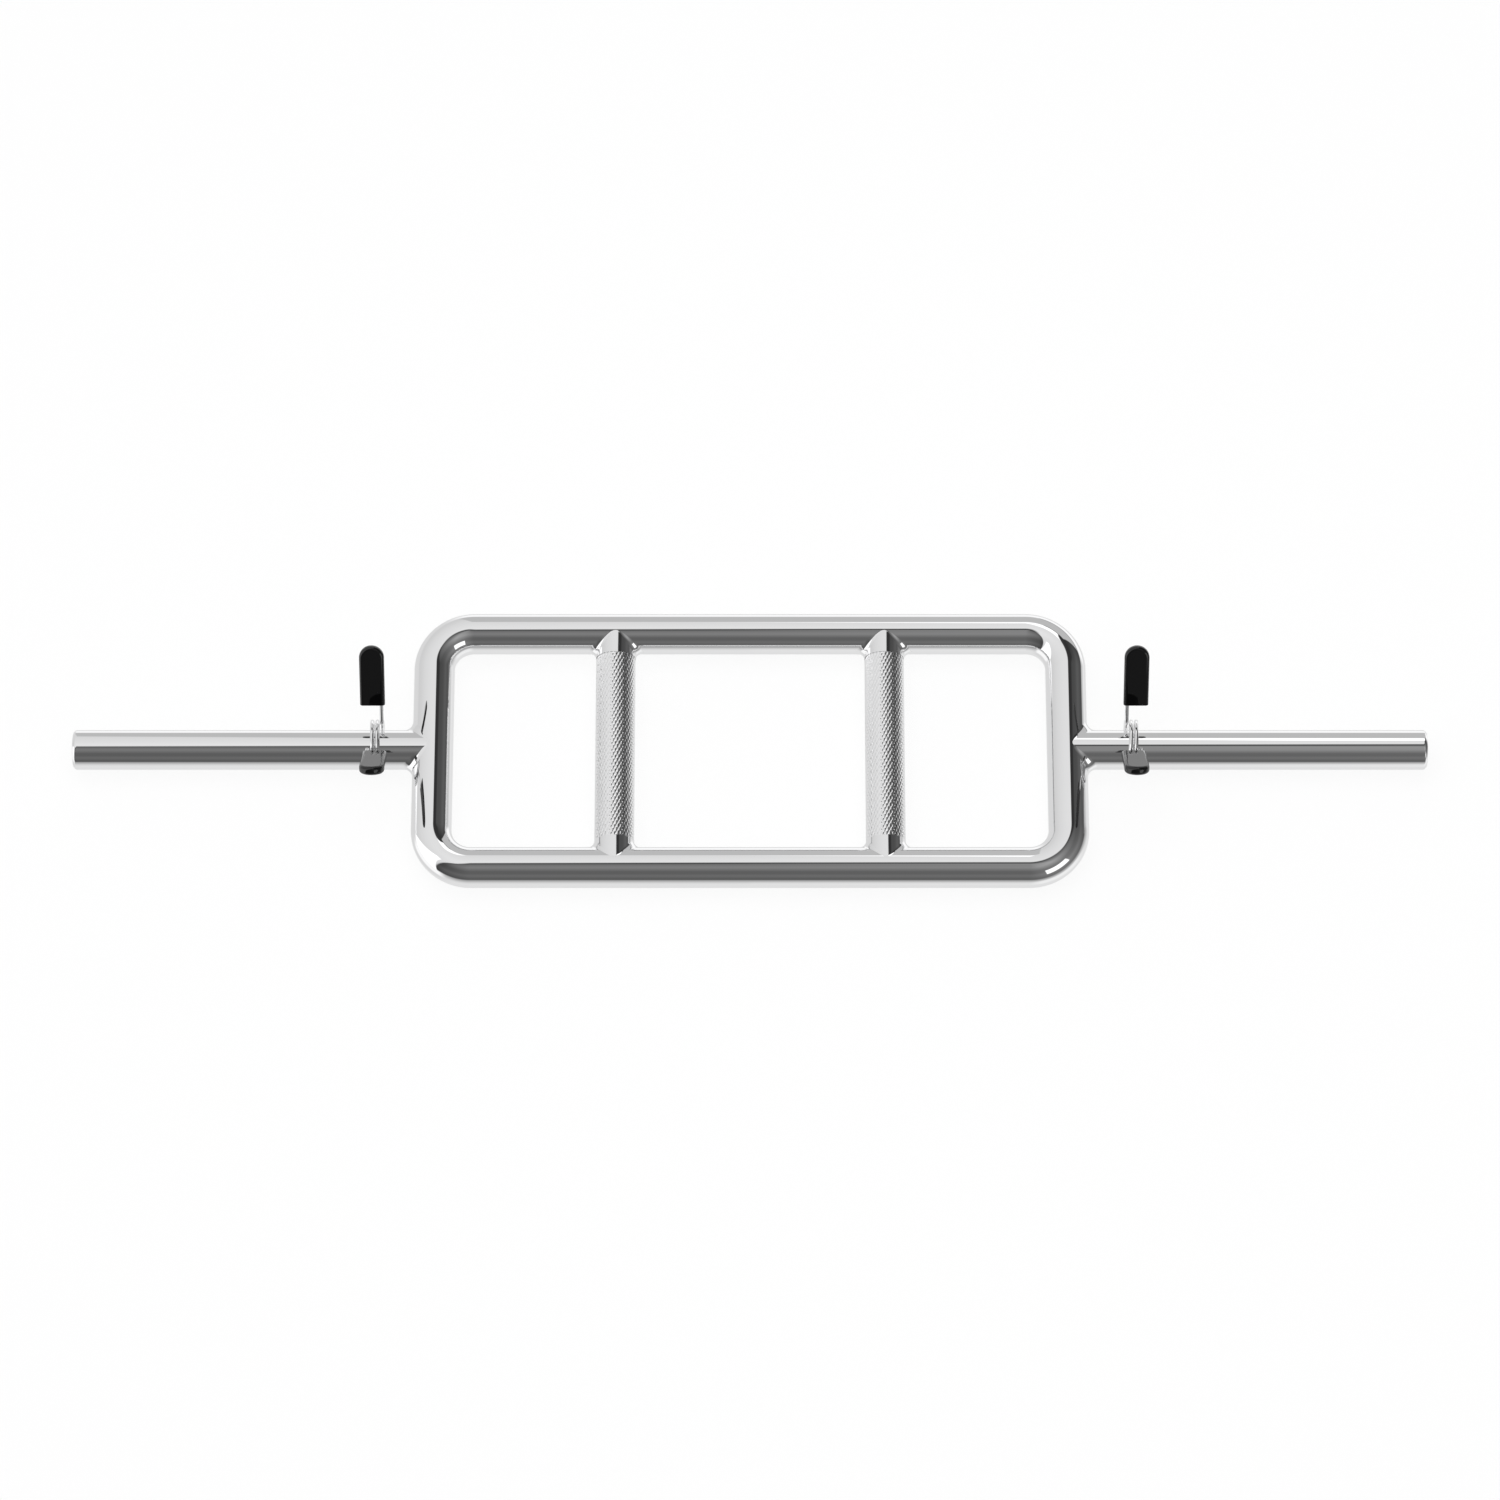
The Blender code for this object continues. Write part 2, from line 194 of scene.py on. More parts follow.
def spread(tree, value, low, high, new_low, new_high, smooth=False):
    """Map a value from one range to another, and keep it there."""
    node = tree.nodes.new("ShaderNodeMapRange")
    node.interpolation_type = "SMOOTHSTEP" if smooth else "LINEAR"
    for name, number in (("From Min", low), ("From Max", high), ("To Min", new_low), ("To Max", new_high)):
        node.inputs[name].default_value = number
    tree.links.new(value, node.inputs["Value"])
    return node.outputs["Result"]


def calculate(tree, operation, first, second=None):
    """One sum: each input is a number or another node's output."""
    node = tree.nodes.new("ShaderNodeMath")
    node.operation = operation
    for socket, value in zip(node.inputs, (first, second)):
        if isinstance(value, bpy.types.NodeSocket):
            tree.links.new(value, socket)
        elif value is not None:
            socket.default_value = value
    return node.outputs[0]


def raise_surface(tree, shader, height, depth):
    """Bump from a height pattern, where depth is the real height of its full range."""
    bump = tree.nodes.new("ShaderNodeBump")
    bump.inputs["Distance"].default_value = depth
    tree.links.new(height, bump.inputs["Height"])
    tree.links.new(bump.outputs["Normal"], shader.inputs["Normal"])


# %% [markdown]
# ## Bright chrome
#
# Chrome plate is a thin mirror. What makes it look real is what it reflects, and that it is
# never quite even: polishing leaves faint cloudy changes in how sharp the mirror is, and the
# tube under it is not perfectly flat. Only the first is in this material, kept very small, as
# on a new bar.

# %% Material: polished chrome
CHROME_COLOUR = (0.90, 0.90, 0.905)
POLISH_CLOUDS = 45
POLISH_GRAIN = 900
CLOUD_SHARE = 0.8
CLOUD_RANGE = (0.35, 0.65)
BRIGHT_POLISH = (0.018, 0.035)


def make_chrome(name, sharpest, dullest):
    """Chrome whose roughness goes from place to place between two values."""
    material, tree, shader, place = new_material(name, CHROME_COLOUR, sharpest, 1.0)
    clouds = noise(tree, place, POLISH_CLOUDS, detail=5)
    grain = noise(tree, place, POLISH_GRAIN, detail=2)
    clouds_part = calculate(tree, "MULTIPLY", clouds, CLOUD_SHARE)
    grain_part = calculate(tree, "MULTIPLY", grain, 1 - CLOUD_SHARE)
    mixed = calculate(tree, "ADD", clouds_part, grain_part)
    roughness = spread(tree, mixed, *CLOUD_RANGE, sharpest, dullest)
    tree.links.new(roughness, shader.inputs["Roughness"])
    return material, tree, shader, place


frame_chrome = make_chrome("frame_chrome", *BRIGHT_POLISH)[0]
sleeve_chrome = make_chrome("sleeve_chrome", *BRIGHT_POLISH)[0]
print("chrome:", frame_chrome.name, sleeve_chrome.name)

# %% [markdown]
# ## The frame tube
#
# The real frame is round tube, bent at four corners and closed. It could be a bevelled
# curve, but following the path by hand shows how a bender works: a circle is the tube's
# section, Extrude runs it along a straight side, and Spin turns it round each corner. Each
# straight begins and ends with a very short step: such holding rings keep the bend's
# shading out of the long straight, where a mirror would show it. The last straight meets
# the first ring, and merging by distance closes the loop.

# %% Frame tube: extrude and spin round the loop
TUBE_SIDES = 128
BEND_RADIUS = 0.0254
BEND_STEPS = 40
HOLD = 0.0006
CORNER_X = RAIL_X - BEND_RADIUS
CORNER_Y = RAIL_Y - BEND_RADIUS


def add_tube_section(location):
    deselect_all()
    bpy.ops.mesh.primitive_circle_add(
        vertices=TUBE_SIDES, radius=TUBE_RADIUS, location=location, rotation=(math.pi / 2, 0, 0)
    )


add_tube_section((-RAIL_X, 0, AXIS_HEIGHT))
frame_tube = start_editing("frame_tube")
straights = ((0, CORNER_Y), (2 * CORNER_X, 0), (0, -2 * CORNER_Y), (-2 * CORNER_X, 0), (0, CORNER_Y))
corners = ((-1, 1), (1, 1), (1, -1), (-1, -1))
for number, (along_x, along_y) in enumerate(straights):
    run = Vector((along_x, along_y, 0))
    hold = run.normalized() * HOLD
    extrude_edges(hold)
    extrude_edges(run - 2 * hold)
    extrude_edges(hold)
    if number < len(corners):
        side, way = corners[number]
        centre = (side * CORNER_X, way * CORNER_Y, AXIS_HEIGHT)
        bpy.ops.mesh.spin(steps=BEND_STEPS, angle=math.pi / 2, center=centre, axis=(0, 0, 1))
merge_and_face_outwards()
stop_editing()
dress(frame_tube, frame_chrome, "bar", ["frame_rear_tube", "frame_front_tube"])

# %% [markdown]
# ## Coping a bar to a tube
#
# A welder shapes the end of a round bar to the tube that it meets, which is called coping.
# A Boolean does the same: a cylinder a little larger than the tube is taken away from the
# bar's end. The cylinder is only a tool, so it is deleted once the modifier is applied.

# %% Helper: cope a bar's ends
COPE_GAP = 0.00005
COPE_LENGTH = 0.08


def cope(piece, rails, smooth_angle):
    """Cut away a round space about each rail, given as its middle point and direction."""
    for middle, turn in rails:
        deselect_all()
        bpy.ops.mesh.primitive_cylinder_add(
            vertices=TUBE_SIDES, radius=TUBE_RADIUS + COPE_GAP, depth=COPE_LENGTH,
            location=middle, rotation=turn,
        )
        tool = bpy.context.object
        deselect_all()
        bpy.context.view_layer.objects.active = piece
        piece.select_set(True)
        cut = piece.modifiers.new("cope", "BOOLEAN")
        cut.operation = "DIFFERENCE"
        cut.solver = "EXACT"
        cut.object = tool
        bpy.ops.object.modifier_apply(modifier=cut.name)
        bpy.data.objects.remove(tool, do_unlink=True)
    bpy.ops.object.shade_smooth_by_angle(angle=math.radians(smooth_angle))


# %% [markdown]
# ## The sleeves
#
# A sleeve is one inch bar, turned smooth and chamfered at its free end so that plates slide
# on easily. A cylinder is added at its size and place, and Bevel breaks the edge of its
# outer end, first to the chamfer and then a little at its corners, because plating rounds
# every corner. Two cuts by Bisect hold the shading of the chamfer at the end. The other end
# is coped to the frame's short side.

# %% Sleeves: cylinder, bevel and cope
SLEEVE_CHAMFER = 0.0016
CHAMFER_CORNER = SLEEVE_CHAMFER / 5
CHAMFER_HOLDS = (0.003, 0.0034)
SLEEVE_SMOOTH_ANGLE = 25
SIDES = (("left", -1), ("right", 1))
ALONG_X = (0, math.pi / 2, 0)
ALONG_Y = (math.pi / 2, 0, 0)


def is_end_ring(edge):
    """True for an edge of a ring about the bar, all at one place along X, near its free end."""
    first, second = (vert.co.x for vert in edge.verts)
    return abs(first - second) < SAME_PLACE and abs(first) > RAIL_X + HOLD


for label, side in SIDES:
    deselect_all()
    bpy.ops.mesh.primitive_cylinder_add(
        vertices=TUBE_SIDES, radius=BAR_RADIUS, depth=BAR_END - RAIL_X,
        location=(side * (BAR_END + RAIL_X) / 2, 0, AXIS_HEIGHT), rotation=ALONG_X,
    )
    sleeve = start_editing(f"{label}_sleeve_fine")
    pick("edges", is_end_ring)
    bpy.ops.mesh.bevel(offset=SLEEVE_CHAMFER, offset_type="OFFSET", segments=1, affect="EDGES")
    pick("edges", is_end_ring)
    bpy.ops.mesh.bevel(offset=CHAMFER_CORNER, offset_type="OFFSET", segments=3, affect="EDGES")
    merge_and_face_outwards()
    for distance in CHAMFER_HOLDS:
        bpy.ops.mesh.select_all(action="SELECT")
        bpy.ops.mesh.bisect(plane_co=(side * (BAR_END - distance), 0, 0), plane_no=(1, 0, 0))
    stop_editing(SLEEVE_SMOOTH_ANGLE)
    cope(sleeve, [((side * RAIL_X, 0, AXIS_HEIGHT), ALONG_Y)], SLEEVE_SMOOTH_ANGLE)
    dress(sleeve, sleeve_chrome, "bar", [f"{label}_sleeve"])

# %% [markdown]
# ## Chrome over a knurl
#
# A knurl is a diamond pattern that two hard wheels press into a turning bar. The plating
# over it shines on the diamonds' tops. The grooves are given a paler colour, which is painted
# light that lifts the shade in them. The material tells tops from grooves by their distance
# from the grip's axis.

# %% Material: knurled chrome
FLANK_RISE = 0.00024
SHOULDER_RISE = 0.00010
GROOVE_RADIUS = BAR_RADIUS - FLANK_RISE - SHOULDER_RISE
# Painted light: the grooves' paler colour lifts the shade that falls in them.
GROOVE_PAINTED_LIGHT_COLOUR = (0.96, 0.96, 0.965)
KNURL_POLISH = (0.03, 0.07)


def make_knurled_chrome(name, axis_x):
    """Chrome for the grip whose axis is at one place along X."""
    material, tree, shader, place = make_chrome(name, *KNURL_POLISH)
    split = tree.nodes.new("ShaderNodeSeparateXYZ")
    tree.links.new(place, split.inputs["Vector"])
    across = calculate(tree, "SUBTRACT", split.outputs["X"], axis_x)
    above = calculate(tree, "SUBTRACT", split.outputs["Z"], AXIS_HEIGHT)
    across_square = calculate(tree, "MULTIPLY", across, across)
    above_square = calculate(tree, "MULTIPLY", above, above)
    radius = calculate(tree, "SQRT", calculate(tree, "ADD", across_square, above_square))
    height = spread(tree, radius, GROOVE_RADIUS, GROOVE_RADIUS + FLANK_RISE, 0.0, 1.0, smooth=True)
    # Painted light: the grooves get the paler colour, and the tops the plain chrome colour.
    tint = tree.nodes.new("ShaderNodeMix")
    tint.data_type = "RGBA"
    tint.inputs["A"].default_value = (*GROOVE_PAINTED_LIGHT_COLOUR, 1.0)
    tint.inputs["B"].default_value = (*CHROME_COLOUR, 1.0)
    tree.links.new(height, tint.inputs["Factor"])
    tree.links.new(tint.outputs["Result"], shader.inputs["Base Color"])
    return material


knurled_chrome = {
    -1: make_knurled_chrome("knurled_chrome_left", -GRIP_X),
    1: make_knurled_chrome("knurled_chrome_right", GRIP_X),
}
print("knurl: grooves at", round(2000 * GROOVE_RADIUS, 2), "mm across")

# %% [markdown]
# ## The grips
#
# A picture of a knurl would look flat at the edge of the bar, so the diamonds are real
# geometry. A ring of few sides is extruded row by row. Poke puts a point in the middle of
# every square, and dissolving the squares' own edges leaves diamonds. Inset, on each diamond
# by itself, raises a steep flank out of the groove and then a gentler shoulder. The grooves
# are marked sharp and the rest is shaded smooth, because plating rounds the tops. The plain
# lands at both ends are finer rings, joined on by Bridge. They reach a little over the last
# diamonds, so that each groove ends at a wall, and both ends are coped.

# %% Grips: poke, dissolve and inset the diamonds
KNURL_LENGTH = 0.127
KNURL_COLUMNS = 31
KNURL_ROWS = 27
FLANK_WIDTH = 0.00045
SHOULDER_WIDTH = 0.00040
LAND_SIDES = 120
LAND_OVERLAP = 0.0009
RING_REACH = 1e-5
GRIP_SMOOTH_ANGLE = 60
ROW_LENGTH = (KNURL_LENGTH + 2 * LAND_OVERLAP) / KNURL_ROWS


def is_square_edge(edge):
    """True for the edges along and around the ring, and false for those that Poke adds."""
    run = edge.verts[1].co - edge.verts[0].co
    straight = abs(run.y) < SAME_PLACE or math.hypot(run.x, run.z) < SAME_PLACE
    return straight and len(edge.link_faces) == 2


def add_knurled_tube(name, axis_x):
    deselect_all()
    bpy.ops.mesh.primitive_circle_add(
        vertices=KNURL_COLUMNS, radius=GROOVE_RADIUS,
        location=(axis_x, -KNURL_LENGTH / 2 - LAND_OVERLAP, AXIS_HEIGHT), rotation=ALONG_Y,
    )
    tube = start_editing(name)
    for _ in range(KNURL_ROWS):
        extrude_edges((0, ROW_LENGTH, 0))
    merge_and_face_outwards()
    flatness = GROOVE_RADIUS * (1 - math.cos(math.pi / KNURL_COLUMNS))
    bpy.ops.mesh.poke(offset=flatness)
    pick("edges", is_square_edge)
    bpy.ops.mesh.dissolve_edges(use_verts=False)
    bpy.ops.mesh.select_all(action="SELECT")
    bpy.ops.mesh.mark_sharp()
    bpy.ops.mesh.select_mode(type="FACE")
    bpy.ops.mesh.select_all(action="SELECT")
    bpy.ops.mesh.inset(thickness=FLANK_WIDTH, depth=FLANK_RISE, use_individual=True)
    bpy.ops.mesh.inset(thickness=SHOULDER_WIDTH, depth=SHOULDER_RISE, use_individual=True)
    return tube


def is_open_at(edge, y):
    """True for an edge with one face only, where the knurl or a land is still open."""
    return len(edge.link_faces) == 1 and all(abs(v.co.y - y) < RING_REACH for v in edge.verts)


for label, side in SIDES:
    grip = add_knurled_tube(f"{label}_grip_fine", side * GRIP_X)
    for way in (-1, 1):
        land_start = way * KNURL_LENGTH / 2
        knurl_end = way * (KNURL_LENGTH / 2 + LAND_OVERLAP)
        bpy.ops.mesh.select_all(action="DESELECT")
        bpy.ops.mesh.primitive_circle_add(
            vertices=LAND_SIDES, radius=BAR_RADIUS,
            location=(side * GRIP_X, land_start, AXIS_HEIGHT), rotation=ALONG_Y,
        )
        extrude_edges((0, way * RAIL_Y - land_start, 0))
        bpy.ops.mesh.edge_face_add()
        pick("edges", lambda e: is_open_at(e, knurl_end) or is_open_at(e, land_start))
        bpy.ops.mesh.bridge_edge_loops()
    merge_and_face_outwards()
    stop_editing(GRIP_SMOOTH_ANGLE)
    rails = [((side * GRIP_X, way * RAIL_Y, AXIS_HEIGHT), ALONG_X) for way in (-1, 1)]
    cope(grip, rails, GRIP_SMOOTH_ANGLE)
    dress(grip, knurled_chrome[side], "bar", [f"{label}_grip"])

# %% [markdown]
# ## The welds
#
# Each weld is dressed to a smooth hollow that runs from the bar to the tube. Its face is the
# path of a ball that rolls round the joint and touches both. Bevel cannot roll a ball
# between two separate pieces, so this is the one shape made from its formula: at each turn
# about the bar, the ball's centre is found, and an arc is drawn between its two contacts.
# The arc ends a hair inside the metal, so that no step shows at the weld's edge.

# %% Welds: a ball rolled round each joint
SLEEVE_WELD_RADIUS = 0.0067
GRIP_WELD_RADIUS = 0.005
WELD_TURNS = 144
WELD_ARC_STEPS = 14
WELD_SINK = 0.00001
WELD_ROOT = 0.0005
WELD_SMOOTH_ANGLE = 40
WELD_POLISH = (0.02, 0.04)
WELD_RIPPLES = 260
WELD_RIPPLE_DEPTH = 0.00003

weld_chrome, tree, shader, place = make_chrome("weld_chrome", *WELD_POLISH)
raise_surface(tree, shader, noise(tree, place, WELD_RIPPLES, detail=2), WELD_RIPPLE_DEPTH)


def on_tube(radius, height):
    """Distance from the rail's axis, along the bar, at which a height lies on a radius."""
    return math.sqrt(max(radius ** 2 - height ** 2, 0.0))


def weld_section(turn, fillet):
    """The arc and the root of a weld, where the bar runs along +X from a rail along Y."""
    around = np.array([0.0, math.cos(turn), math.sin(turn)])
    ball = (BAR_RADIUS + fillet) * around
    ball[0] = on_tube(TUBE_RADIUS + fillet, ball[2])
    to_rail = -np.array([ball[0], 0.0, ball[2]]) / (TUBE_RADIUS + fillet)
    to_bar = -around
    opening = math.acos(float(np.clip(np.dot(to_rail, to_bar), -1, 1)))
    points = []
    for step in range(WELD_ARC_STEPS + 1):
        share = step / WELD_ARC_STEPS
        mix = math.sin((1 - share) * opening) * to_rail + math.sin(share * opening) * to_bar
        points.append(ball + (fillet + WELD_SINK) * mix / math.sin(opening))
    root = (BAR_RADIUS - WELD_ROOT) * around
    root[0] = on_tube(TUBE_RADIUS - WELD_ROOT, root[2])
    return points + [root]


def add_weld(name, place, fillet):
    shape = bmesh.new()
    rings = []
    for step in range(WELD_TURNS):
        turn = 2 * math.pi * (step + 0.5) / WELD_TURNS
        rings.append([shape.verts.new(place @ Vector(point)) for point in weld_section(turn, fillet)])
    for here, after in zip(rings, rings[1:] + rings[:1]):
        for k in range(len(here)):
            n = (k + 1) % len(here)
            shape.faces.new((here[k], here[n], after[n], after[k]))
    bmesh.ops.recalc_face_normals(shape, faces=shape.faces)
    mesh = bpy.data.meshes.new(name)
    shape.to_mesh(mesh)
    shape.free()
    weld = bpy.data.objects.new(name, mesh)
    bpy.context.scene.collection.objects.link(weld)
    deselect_all()
    weld.select_set(True)
    bpy.context.view_layer.objects.active = weld
    bpy.ops.object.shade_smooth_by_angle(angle=math.radians(WELD_SMOOTH_ANGLE))
    return weld


for label, side in SIDES:
    short_rail = Matrix.Translation((side * RAIL_X, 0, AXIS_HEIGHT))
    outwards = short_rail @ Matrix.Rotation(0 if side > 0 else math.pi, 4, "Z")
    weld = add_weld(f"{label}_sleeve_weld_fine", outwards, SLEEVE_WELD_RADIUS)
    dress(weld, weld_chrome, "bar", [f"{label}_sleeve_weld"])
    for end, way in (("rear", 1), ("front", -1)):
        long_rail = Matrix.Translation((side * GRIP_X, way * RAIL_Y, AXIS_HEIGHT))
        inwards = long_rail @ Matrix.Rotation(-way * math.pi / 2, 4, "Z")
        weld = add_weld(f"{label}_grip_{end}_weld_fine", inwards, GRIP_WELD_RADIUS)
        dress(weld, weld_chrome, "bar", [f"{label}_grip_{end}_weld"])

# %% [markdown]
# ## The spring wires
#
# A collar is wound from one piece of springy wire: nearly three turns that hug the sleeve,
# and a tail at each end that bends out into a paddle. The solids part it in three so that it
# can move. Here it is whole: one line through the tail, the coil and the other tail, with a
# round section, made a mesh.

# %% Spring wire: the line of one collar
WIRE_RADIUS = 0.00125
COIL_PITCH = 0.0032
COIL_FULL_TURNS = 3
COIL_FIRST_ANGLE = 135.5
COIL_LAST_ANGLE = 35.9
COIL_OFFSET = 0.0021
COIL_RADIUS = 0.0163
INNER_HANDLE_ANGLE = 45.4
OUTER_HANDLE_ANGLE = 129.0
TAIL_BEND_RADIUS = 0.0032
TAIL_RUN = 0.0028
TAIL_END = 0.0584
COIL_STEPS = 240
TAIL_BEND_STEPS = 14
COIL_SWEEP = 360 * COIL_FULL_TURNS + COIL_LAST_ANGLE - COIL_FIRST_ANGLE
COIL_LENGTH = COIL_PITCH * COIL_SWEEP / 360


def direction(angle):
    """Unit vector in the YZ plane, at an angle in degrees from +Y towards +Z."""
    turn = math.radians(angle)
    return np.array([math.cos(turn), math.sin(turn)])


def tail_line(leave_angle, way, handle_angle):
    """The tail's line in the YZ plane: straight off the coil, round its bend, to its end."""
    heading = leave_angle + 90 * way
    turn = (handle_angle - heading + 180) % 360 - 180
    bend_side = math.copysign(90, turn)
    start = COIL_RADIUS * direction(leave_angle) + TAIL_RUN * direction(heading)
    centre = start + TAIL_BEND_RADIUS * direction(heading + bend_side)
    line = []
    for step in range(TAIL_BEND_STEPS + 1):
        angle = heading - bend_side + turn * step / TAIL_BEND_STEPS
        line.append(centre + TAIL_BEND_RADIUS * direction(angle))
    along = direction(handle_angle)
    line.append(line[-1] + (TAIL_END - np.dot(line[-1], along)) * along)
    return line


def wire_line():
    """The whole wire as (inward, y, z), from the outer paddle to the inner one."""
    outer = [(-COIL_LENGTH / 2, *point) for point in tail_line(COIL_FIRST_ANGLE, -1, OUTER_HANDLE_ANGLE)]
    inner = [(COIL_LENGTH / 2, *point) for point in tail_line(COIL_LAST_ANGLE, 1, INNER_HANDLE_ANGLE)]
    coil = []
    for step in range(COIL_STEPS + 1):
        share = step / COIL_STEPS
        y, z = COIL_RADIUS * direction(COIL_FIRST_ANGLE + COIL_SWEEP * share)
        coil.append((COIL_LENGTH * (share - 0.5), y, z))
    return outer[::-1] + coil + inner


points = np.array(wire_line())
wire_length = np.linalg.norm(np.diff(points, axis=0), axis=1).sum()
print(f"wire: {wire_length * 1000:.0f} mm long in {len(points)} points")

# %% Spring wire: the mesh of each collar
SPRING_POLISH = (0.02, 0.04)
WIRE_RESOLUTION = 8
spring_chrome = make_chrome("spring_chrome", *SPRING_POLISH)[0]
collar_middle = {}
for label, side in SIDES:
    coil_low, coil_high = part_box(f"{label}_collar_coil")
    middle = Vector(((coil_low.x + coil_high.x) / 2, COIL_OFFSET, AXIS_HEIGHT))
    collar_middle[side] = middle
    line = bpy.data.curves.new(f"{label}_wire", "CURVE")
    line.dimensions = "3D"
    line.bevel_depth = WIRE_RADIUS
    line.bevel_resolution = WIRE_RESOLUTION
    line.use_fill_caps = True
    spline = line.splines.new("POLY")
    spline.points.add(len(points) - 1)
    for point, (inward, y, z) in zip(spline.points, points):
        point.co = (middle.x - side * inward, middle.y + y, middle.z + z, 1.0)
    wire = bpy.data.objects.new(f"{label}_spring_wire", line)
    bpy.context.scene.collection.objects.link(wire)
    deselect_all()
    wire.select_set(True)
    bpy.context.view_layer.objects.active = wire
    bpy.ops.object.convert(target="MESH")
    wire = bpy.context.object
    bpy.ops.object.mode_set(mode="EDIT")
    merge_and_face_outwards()
    stop_editing()
    nodes = [f"{label}_collar_coil", f"{label}_inner_tail", f"{label}_outer_tail"]
    dress(wire, spring_chrome, None, nodes)
    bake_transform(wire)

# %% [markdown]
# ## Glossy black plastic
#
# The paddles are moulded on to the wire in black vinyl. It is nearly a mirror at a low
# angle and dark when seen straight on. Moulded plastic is never fully flat, so it gets a
# very low wave, a fine grain in its roughness and a trace of lighter wear.

# %% Material: black plastic
PLASTIC_BLACK = (0.0012, 0.0012, 0.0013)
PLASTIC_WORN = (0.0024, 0.0024, 0.0026)
PLASTIC_IOR = 1.55
PLASTIC_POLISH = (0.02, 0.04)
PLASTIC_GRAIN = 900
PLASTIC_GRAIN_RANGE = (0.3, 0.7)
PLASTIC_WEAR = 220
PLASTIC_WAVES = 90
PLASTIC_WAVE_DEPTH = 0.000006

black_plastic, tree, shader, place = new_material("black_plastic", PLASTIC_BLACK, 0.03, 0.0)
shader.inputs["IOR"].default_value = PLASTIC_IOR
grain = noise(tree, place, PLASTIC_GRAIN, detail=4)
roughness = spread(tree, grain, *PLASTIC_GRAIN_RANGE, *PLASTIC_POLISH)
tree.links.new(roughness, shader.inputs["Roughness"])
tint = tree.nodes.new("ShaderNodeMix")
tint.data_type = "RGBA"
tint.inputs["A"].default_value = (*PLASTIC_BLACK, 1.0)
tint.inputs["B"].default_value = (*PLASTIC_WORN, 1.0)
tree.links.new(noise(tree, place, PLASTIC_WEAR, detail=5), tint.inputs["Factor"])
tree.links.new(tint.outputs["Result"], shader.inputs["Base Color"])
raise_surface(tree, shader, noise(tree, place, PLASTIC_WAVES, detail=1), PLASTIC_WAVE_DEPTH)
print("plastic:", black_plastic.name)

# %% [markdown]
# ## The paddles
#
# A paddle is a flat moulding with a round tip. Its rims are well rounded for the fingers, and
# its base, where the wire goes in, is cut nearly square. The outline is half a circle whose
# ends are extruded into two straight sides, and the face is extruded to its thickness. One
# Bevel rounds both rims, a small one breaks the base's edge, and Inset holds the two flat
# faces flat. Then it is turned to its handle's angle.

# %% Paddles: outline, extrude and bevel
PADDLE_START = 0.0304
PADDLE_LENGTH = 0.040
PADDLE_WIDTH = 0.0159
PADDLE_THICKNESS = 0.0055
PADDLE_EDGE = 0.0021
PADDLE_EDGE_STEPS = 10
PADDLE_BASE_EDGE = 0.0005
PADDLE_BASE_STEPS = 3
PADDLE_TIP_SIDES = 96
PADDLE_SMOOTH_ANGLE = 40
FLAT_NORMAL = 0.9999
PADDLE_WALL = 0.0009
BORE_GAP = 0.0003
TAIL_SIDE_OFFSET = PADDLE_WIDTH / 2 - PADDLE_WALL - BORE_GAP - WIRE_RADIUS
TIP = PADDLE_LENGTH - PADDLE_WIDTH / 2


def is_at_base(edge):
    """True for an edge that lies in the plane of the paddle's base."""
    return all(v.co.y < SAME_PLACE for v in edge.verts)


def is_rim(edge):
    """True for an edge of the front or back face that is not at the base."""
    first, second = (vert.co.z for vert in edge.verts)
    return abs(first - second) < SAME_PLACE and not is_at_base(edge)


def add_paddle(name):
    """A paddle that lies flat, its base at the origin and its tip towards +Y."""
    deselect_all()
    bpy.ops.mesh.primitive_circle_add(
        vertices=PADDLE_TIP_SIDES, radius=PADDLE_WIDTH / 2, location=(0, TIP, 0)
    )
    paddle = start_editing(name)
    pick("verts", lambda v: v.co.y < TIP - SAME_PLACE)
    bpy.ops.mesh.delete(type="VERT")
    pick("verts", lambda v: v.co.y < TIP + SAME_PLACE)
    bpy.ops.mesh.extrude_vertices_move(TRANSFORM_OT_translate={"value": (0, -TIP, 0)})
    bpy.ops.mesh.select_all(action="SELECT")
    bpy.ops.mesh.edge_face_add()
    bpy.ops.mesh.select_mode(type="FACE")
    bpy.ops.mesh.select_all(action="SELECT")
    bpy.ops.transform.translate(value=(0, 0, -PADDLE_THICKNESS / 2))
    bpy.ops.mesh.extrude_region_move(TRANSFORM_OT_translate={"value": (0, 0, PADDLE_THICKNESS)})
    merge_and_face_outwards()
    pick("edges", is_rim)
    bpy.ops.mesh.bevel(offset=PADDLE_EDGE, segments=PADDLE_EDGE_STEPS, affect="EDGES")
    pick("edges", is_at_base)
    bpy.ops.mesh.bevel(offset=PADDLE_BASE_EDGE, segments=PADDLE_BASE_STEPS, affect="EDGES")
    merge_and_face_outwards()
    pick("faces", lambda f: abs(f.normal.z) > FLAT_NORMAL)
    bpy.ops.mesh.inset(thickness=PADDLE_BASE_EDGE, use_individual=True)
    stop_editing(PADDLE_SMOOTH_ANGLE)
    return paddle


